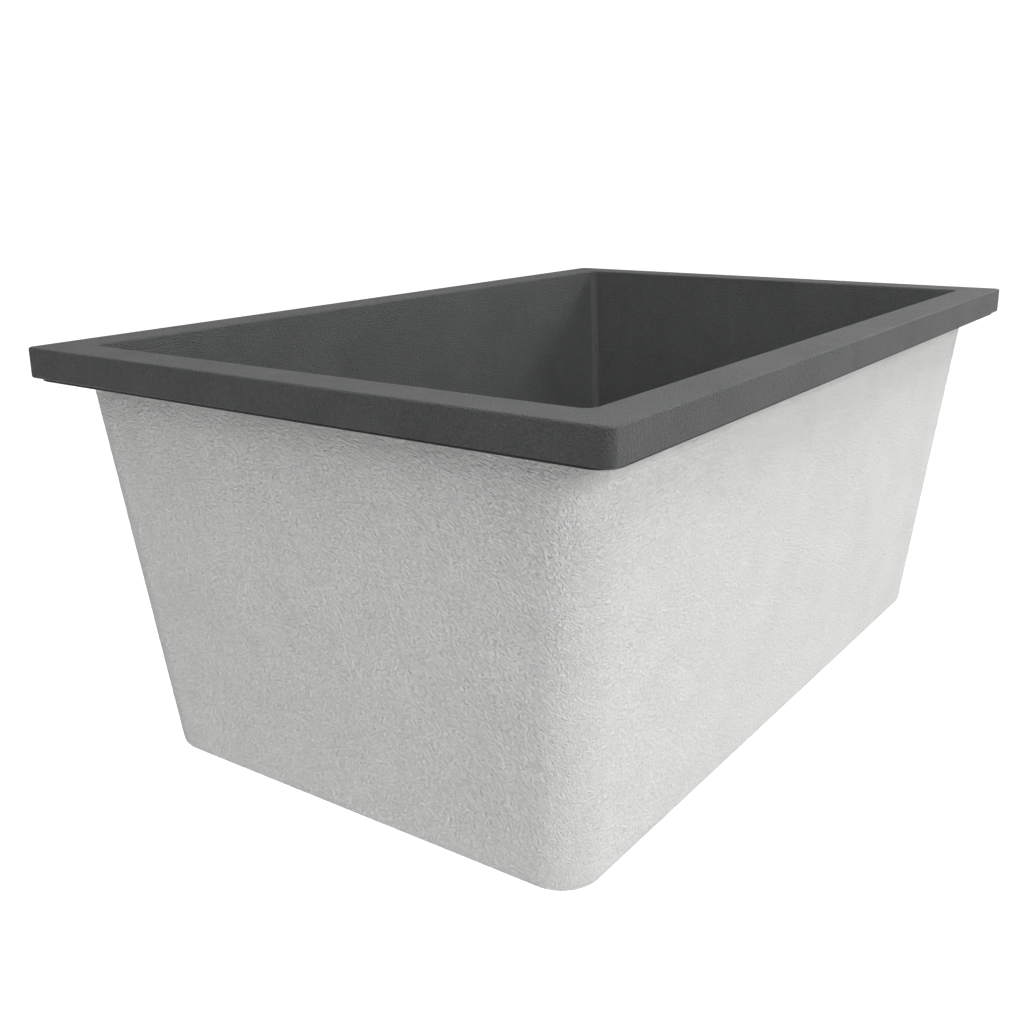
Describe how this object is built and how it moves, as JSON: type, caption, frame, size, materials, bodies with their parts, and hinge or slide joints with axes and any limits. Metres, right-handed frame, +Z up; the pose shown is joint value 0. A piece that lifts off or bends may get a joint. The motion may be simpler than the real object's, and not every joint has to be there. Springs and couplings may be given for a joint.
{
  "type": "resin wash basin",
  "caption": "Rectangular drop-in wash basin: dark composite inside with a flat overhanging rim, white textured outer shell, and a lift-out basket strainer in its outlet.",
  "frame": {"origin": "centre of the basin, in the plane of the rim's underside, which is the worktop's top", "axes": "+X along the basin, +Y across it away from the user, +Z up out of the worktop"},
  "size_m": [0.684, 0.44, 0.34],
  "materials": {
    "composite": "matt-satin quartz-filled resin, fine grained",
    "shell_skin": "sprayed white resin backing coat, finely wrinkled",
    "sealing_strip": "matt black closed-cell rubber",
    "rubber": "matt black rubber",
    "fibre": "pressed fibre washer",
    "polished_steel": "polished stainless steel, faint turning marks",
    "cast_zinc": "dull die-cast zinc"
  },
  "bodies": {
    "basin_body": {"basin": "composite", "outer_shell": "shell_skin", "rim_seal": "sealing_strip", "flange_gasket": "rubber", "strainer_body": "polished_steel", "outlet_crossbar": "polished_steel", "underside_washer": "rubber", "friction_washer": "fibre", "locknut": "cast_zinc"},
    "basket": {"strainer_basket": "polished_steel", "basket_seal": "rubber", "seal_retainer": "polished_steel", "post_nut": "polished_steel", "basket_post": "polished_steel", "basket_knob": "polished_steel"}
  },
  "joints": [
    {"name": "basket_lift", "type": "slide", "parent": "basin_body", "child": "basket", "axis": [0, 0, 1], "range_m": [0, 0.345]}
  ]
}
